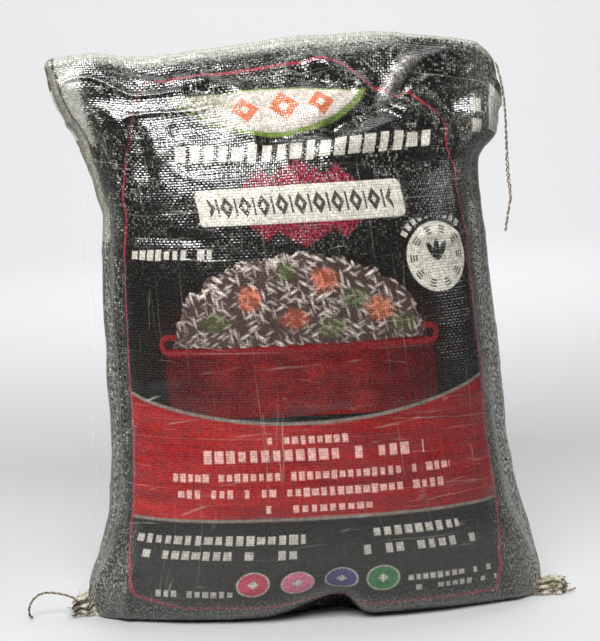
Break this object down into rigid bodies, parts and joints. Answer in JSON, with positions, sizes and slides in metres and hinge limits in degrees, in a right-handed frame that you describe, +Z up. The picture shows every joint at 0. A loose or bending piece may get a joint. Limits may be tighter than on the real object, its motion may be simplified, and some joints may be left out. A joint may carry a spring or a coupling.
{
  "type": "rice sack",
  "caption": "Filled woven plastic grain sack standing upright, with a printed front, a folded and sewn top edge, a frayed bottom seam and loose thread ends.",
  "frame": {"origin": "on the floor, at the middle of the box round the sack and its seam ends", "axes": "+Z up, the printed front faces -Y, +X to the right of the printed front"},
  "size_m": [0.5704, 0.208, 0.5865],
  "materials": {
    "woven_film": "plain-woven polypropylene tape with a thin clear film, printed mostly black and red, glinting at each tape, creased",
    "bare_weave": "unprinted off-white woven tape, frayed at its cut edge",
    "sewing_thread": "dull twisted beige-brown sewing thread",
    "tape_filament": "fine off-white filament pulled from the weave"
  },
  "bodies": {
    "root": {"sack": "woven_film", "thread_top_right": "sewing_thread", "thread_bottom_left": "sewing_thread", "thread_bottom_right": "sewing_thread", "filament_left": "tape_filament"}
  },
  "joints": []
}
